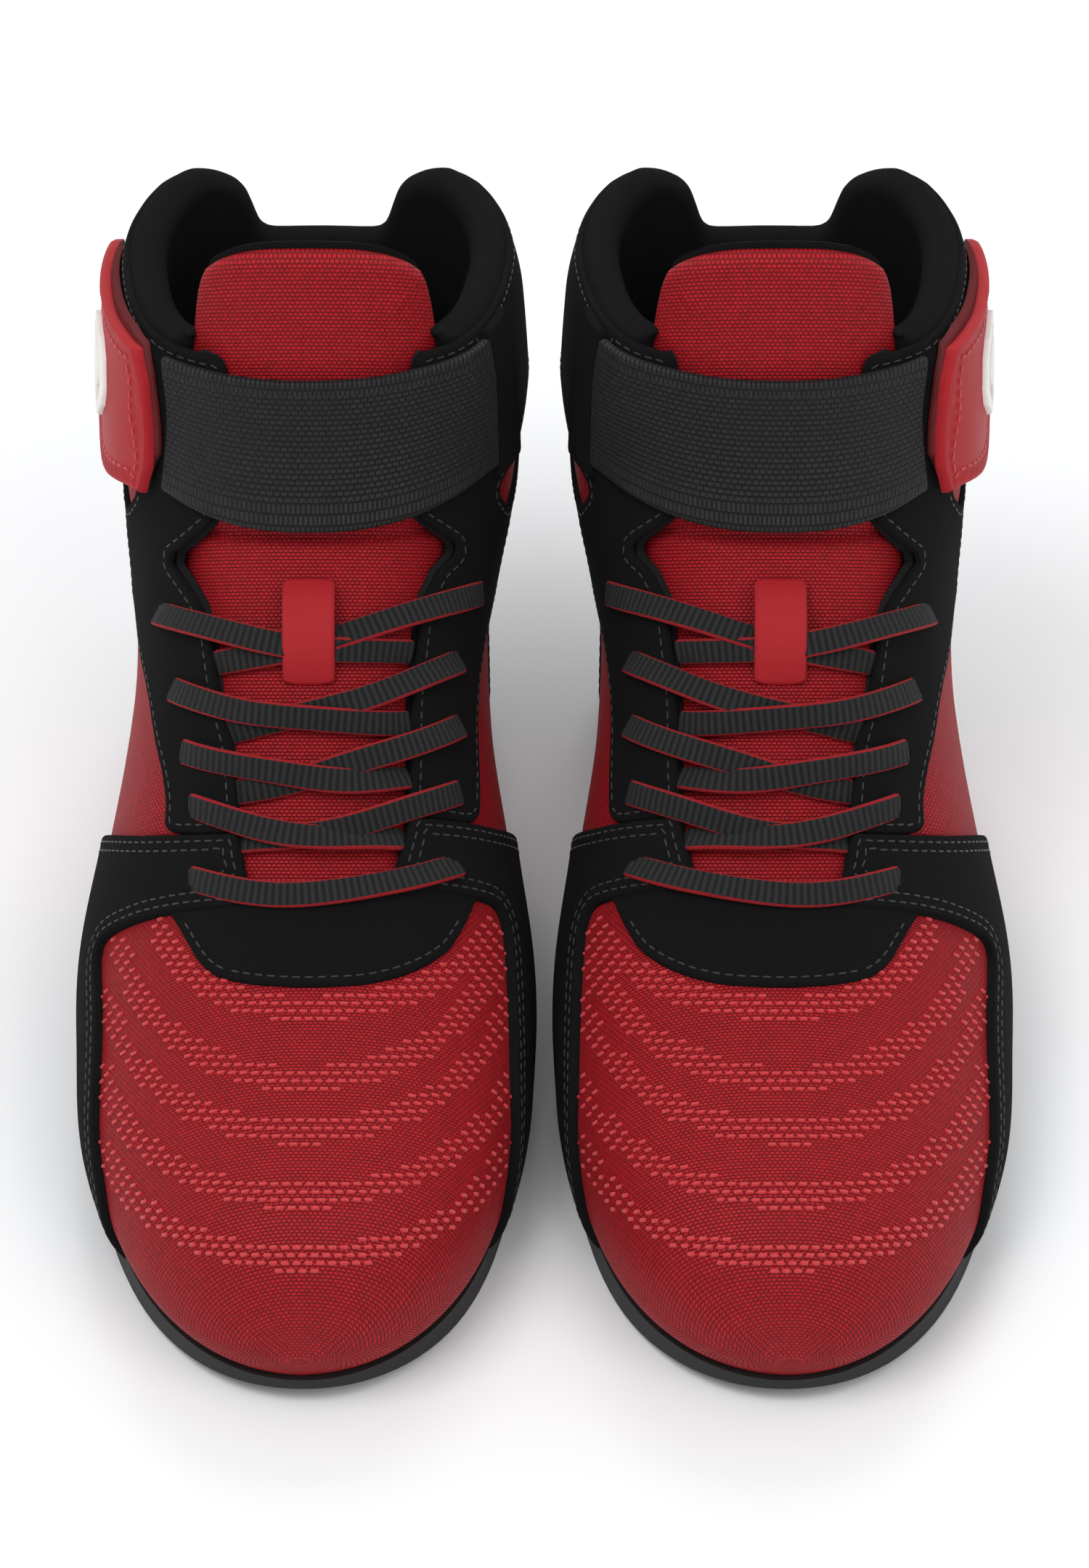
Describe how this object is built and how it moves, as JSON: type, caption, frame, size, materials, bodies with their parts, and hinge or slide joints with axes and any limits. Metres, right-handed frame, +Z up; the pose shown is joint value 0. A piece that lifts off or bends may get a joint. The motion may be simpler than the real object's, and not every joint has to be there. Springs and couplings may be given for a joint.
{
  "type": "pair of boxing boots",
  "caption": "Pair of mid-height lace-up boxing boots in woven mesh and suede, with a wide elastic ankle strap that closes with a rubber tab, and a padded collar.",
  "frame": {"origin": "on the floor, in the middle between the two boots and halfway along them", "axes": "+Z up, +Y towards the heels (toes point to -Y), +X towards the left boot, which is on the wearer's left"},
  "size_m": [0.2266, 0.2899, 0.1841],
  "materials": {
    "outsole_rubber": "matte",
    "insole_board": "matte",
    "footbed_textile": "matte",
    "red_mesh": "matte",
    "stiffener": "matte",
    "black_lining": "matte",
    "black_fleece": "matte",
    "black_suede": "matte",
    "black_loop": "matte",
    "red_tongue": "matte",
    "lace_ribbon": "matte",
    "red_rubber": "matte",
    "white_rubber": "matte",
    "elastic": "matte",
    "red_hook": "matte"
  },
  "bodies": {
    "left_boot": {"left_outsole": "outsole_rubber", "left_insole_board": "insole_board", "left_footbed": "footbed_textile", "left_vamp": "red_mesh", "left_lateral_quarter": "red_mesh", "left_medial_quarter": "red_mesh", "left_toe_puff": "stiffener", "left_heel_stiffener": "stiffener", "left_vamp_lining": "black_lining", "left_quarter_lining": "black_lining", "left_collar_pad": "black_fleece", "left_throat_patch": "black_suede", "left_lateral_saddle": "black_suede", "left_medial_saddle": "black_suede", "left_lateral_eyestay": "black_suede", "left_medial_eyestay": "black_suede", "left_ankle_band": "black_suede", "left_collar_overlay": "black_suede", "left_loop_patch": "black_loop", "left_heel_overlay": "black_suede", "left_tongue_lower": "red_tongue", "left_lace": "lace_ribbon", "left_lace_keeper": "red_rubber", "left_strap_anchor": "black_suede"},
    "left_strap": {"left_strap": "elastic"},
    "left_tab": {"left_strap_tab": "red_rubber", "left_hook_patch": "red_hook", "left_tab_emblem": "white_rubber"},
    "left_tongue": {"left_tongue_top": "red_tongue"},
    "right_boot": {"right_outsole": "outsole_rubber", "right_insole_board": "insole_board", "right_footbed": "footbed_textile", "right_vamp": "red_mesh", "right_lateral_quarter": "red_mesh", "right_medial_quarter": "red_mesh", "right_toe_puff": "stiffener", "right_heel_stiffener": "stiffener", "right_vamp_lining": "black_lining", "right_quarter_lining": "black_lining", "right_collar_pad": "black_fleece", "right_throat_patch": "black_suede", "right_lateral_saddle": "black_suede", "right_medial_saddle": "black_suede", "right_lateral_eyestay": "black_suede", "right_medial_eyestay": "black_suede", "right_ankle_band": "black_suede", "right_collar_overlay": "black_suede", "right_loop_patch": "black_loop", "right_heel_overlay": "black_suede", "right_tongue_lower": "red_tongue", "right_lace": "lace_ribbon", "right_lace_keeper": "red_rubber", "right_strap_anchor": "black_suede"},
    "right_strap": {"right_strap": "elastic"},
    "right_tab": {"right_strap_tab": "red_rubber", "right_hook_patch": "red_hook", "right_tab_emblem": "white_rubber"},
    "right_tongue": {"right_tongue_top": "red_tongue"}
  },
  "joints": [
    {"name": "boots_apart", "type": "slide", "parent": "right_boot", "child": "left_boot", "axis": [1, 0, 0], "range_m": [0, 0.05]},
    {"name": "left_strap_swing", "type": "hinge", "parent": "left_boot", "child": "left_strap", "pos_m": [0.00914, 0.0465, 0.126], "axis": [-0.0869, -0.3036, -0.9488], "range_deg": [0, 80]},
    {"name": "left_tab_peel", "type": "hinge", "parent": "left_strap", "child": "left_tab", "pos_m": [0.09396, 0.03728, 0.126], "axis": [0.0087, -0.3633, -0.9316], "range_deg": [0, 80]},
    {"name": "left_tongue_tilt", "type": "hinge", "parent": "left_boot", "child": "left_tongue", "pos_m": [0.0565, 0.02572, 0.1188], "axis": [-1, 0, 0], "range_deg": [0, 12], "stiffness_Nm_per_rad": 0.2},
    {"name": "right_strap_swing", "type": "hinge", "parent": "right_boot", "child": "right_strap", "pos_m": [-0.00914, 0.0465, 0.126], "axis": [-0.0869, 0.3036, 0.9488], "range_deg": [0, 80]},
    {"name": "right_tab_peel", "type": "hinge", "parent": "right_strap", "child": "right_tab", "pos_m": [-0.09396, 0.03728, 0.126], "axis": [0.0087, 0.3633, 0.9316], "range_deg": [0, 80]},
    {"name": "right_tongue_tilt", "type": "hinge", "parent": "right_boot", "child": "right_tongue", "pos_m": [-0.0565, 0.02572, 0.1188], "axis": [-1, 0, 0], "range_deg": [0, 12], "stiffness_Nm_per_rad": 0.2}
  ]
}
